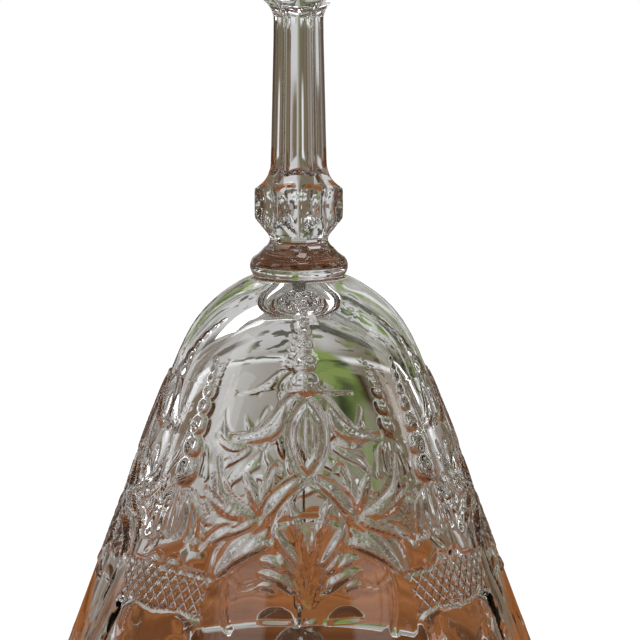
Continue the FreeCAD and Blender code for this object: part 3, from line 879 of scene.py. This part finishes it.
def hatching(finish, where):
    """Sharp crests for the lattice of small diamonds, from 0 to 1.

    The cup is unrolled flat round the middle of the lattice, in mm, with its
    radius as a straight line down the flare, and the crests run along the
    middles of the lattice's ribs. The inner side of the wall has none.
    """
    x, y, z = (part * (1 / MM) for part in finish.axes(where))
    degrees = finish.sum("ARCTAN2", x, 0.0 - y) * math.degrees(1) - math.degrees(TURN)
    folded = finish.sum("PINGPONG", degrees + 360.0, 45.0)
    cup = 44.14 - z * 0.375
    round_it = (folded - 45.0) * math.radians(1) * cup
    up_it = (z - LATTICE_MIDDLE) * SLANT
    crests = 0.0
    for lean in (LATTICE_LEAN, -LATTICE_LEAN):
        off = finish.sum("PINGPONG", round_it + up_it * lean + AHEAD, LATTICE_PITCH / 2)
        crests = finish.sum("MAXIMUM", 1.0 - finish.step(off, 0.0, 0.34), crests)
    radius = finish.sum("POWER", x * x + y * y, 0.5)
    outer = finish.step(radius - cup, -2.0, -1.0)
    side = finish.step(folded + z * LATTICE_SLOPE, LATTICE_EDGE - 0.4, LATTICE_EDGE + 0.4)
    foot = finish.step(z, LATTICE_FOOT - 0.2, LATTICE_FOOT + 0.3)
    top = finish.step(z, LATTICE_TOP - 0.4, LATTICE_TOP + 0.2)
    return crests * outer * side * foot * (1.0 - top)


def crystal(name, tint, mottle, ripple, relief=None):
    """Clear crystal: faint streaks of colour, a trace of handling marks and a soft mould ripple.

    tint is the colour of the clear part and mottle that of the streaks. ripple
    is the strength of the bump. relief, where given, is a fine pattern that
    sharpens what the mesh has by up to 0.12 mm.
    """
    made = bpy.data.materials.new(name)
    finish = Finish(made)
    where = finish.node("ShaderNodeTexCoord").outputs["Object"]
    streak = finish.step(finish.noise(where, 60.0, 3.0, Distortion=0.6), 0.35, 0.75)
    marks = finish.step(finish.noise(where, 900.0, 4.0), 0.62, 0.8)
    wave = finish.noise(where, 260.0, 1.0) + marks * 0.05
    bump = finish.node("ShaderNodeBump", None, Strength=ripple, Distance=0.0002, Height=wave)
    if relief:
        bump = finish.node(
            "ShaderNodeBump", None, Strength=1.0, Distance=0.00012,
            Height=relief(finish, where), Normal=bump.outputs[0],
        )
    shader = finish.node(
        "ShaderNodeBsdfPrincipled", None,
        Base_Color=finish.mix(streak, tint, mottle),
        Roughness=marks * 0.03 + 0.004,
        IOR=1.55, Transmission_Weight=1.0, Normal=bump.outputs[0],
    )
    finish.node("ShaderNodeOutputMaterial", None, Surface=shader.outputs[0])
    return made


glass_mesh.materials.append(crystal(
    "bell_crystal", (0.985, 0.985, 0.98, 1), (0.965, 0.96, 0.95, 1), 0.04, hatching,
))
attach(bell_glass, "bell")
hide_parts("bell_cup", "collar", "handle")


# ------------------------------------------------------------- cement plug
# Cement poured into the crown's socket, which holds the hook's shank.


def cement():
    """Cast cement: pale, matt, with fine grit and small pits."""
    made = bpy.data.materials.new("cast_cement")
    finish = Finish(made)
    where = finish.node("ShaderNodeTexCoord").outputs["Object"]
    grit = finish.noise(where, 4000.0, 5.0)
    bump = finish.node("ShaderNodeBump", None, Strength=0.4, Distance=0.0001, Height=grit)
    shader = finish.node(
        "ShaderNodeBsdfPrincipled", None,
        Base_Color=finish.mix(grit, (0.62, 0.6, 0.54, 1), (0.8, 0.78, 0.72, 1)),
        Roughness=grit * 0.2 + 0.7, Normal=bump.outputs[0],
    )
    finish.node("ShaderNodeOutputMaterial", None, Surface=shader.outputs[0])
    return made


def refinish(node, material):
    """Gives a CAD node its finish."""
    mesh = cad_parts[node].data
    mesh.materials.clear()
    mesh.materials.append(material)
    mesh.shade_smooth()


refinish("cement_plug", cement())


# ---------------------------------------------------------- hook and chain
# Drawn steel wire, nickel plated. Each link is bent round and soldered shut, and
# the links hang in one another across each other's planes.


def plated(name, bright, worn, rough, scratch):
    """Plated metal: bright, a little worn in patches, with fine drawing marks.

    rough is the polish where it is bright, and scratch the marks' strength.
    """
    made = bpy.data.materials.new(name)
    finish = Finish(made)
    where = finish.node("ShaderNodeTexCoord").outputs["Object"]
    dulled = finish.step(finish.noise(where, 900.0, 4.0), 0.45, 0.7)
    drawn = finish.node("ShaderNodeMapping", None, Vector=where, Scale=(9.0, 9.0, 1.0))
    lines = finish.noise(drawn.outputs[0], 2500.0, 2.0)
    bump = finish.node("ShaderNodeBump", None, Strength=scratch, Distance=0.00002, Height=lines)
    shader = finish.node(
        "ShaderNodeBsdfPrincipled", None,
        Base_Color=finish.mix(dulled, bright, worn), Metallic=1.0,
        Roughness=dulled * 0.2 + lines * 0.1 + rough, Normal=bump.outputs[0],
    )
    finish.node("ShaderNodeOutputMaterial", None, Surface=shader.outputs[0])
    return made


wire = plated("nickel_wire", (0.78, 0.76, 0.72, 1), (0.5, 0.47, 0.41, 1), 0.14, 0.35)
refinish("clapper_hook", wire)
for place in range(1, 13):
    refinish(f"chain_link_{place:02d}", wire)


# ------------------------------------------------------------------ clapper
# A glass ball, ground flat and drilled, on a wire pin between a domed cap and a
# peened bead, both plated like the chain.

refinish("clapper_pin", wire)
cap_finish = plated("polished_nickel", (0.82, 0.8, 0.76, 1), (0.6, 0.57, 0.5, 1), 0.08, 0.2)
refinish("clapper_cap", cap_finish)
refinish("clapper_stop", cap_finish)
refinish("clapper_ball", crystal(
    "ball_crystal", (0.98, 0.98, 0.975, 1), (0.94, 0.94, 0.92, 1), 0.04,
))
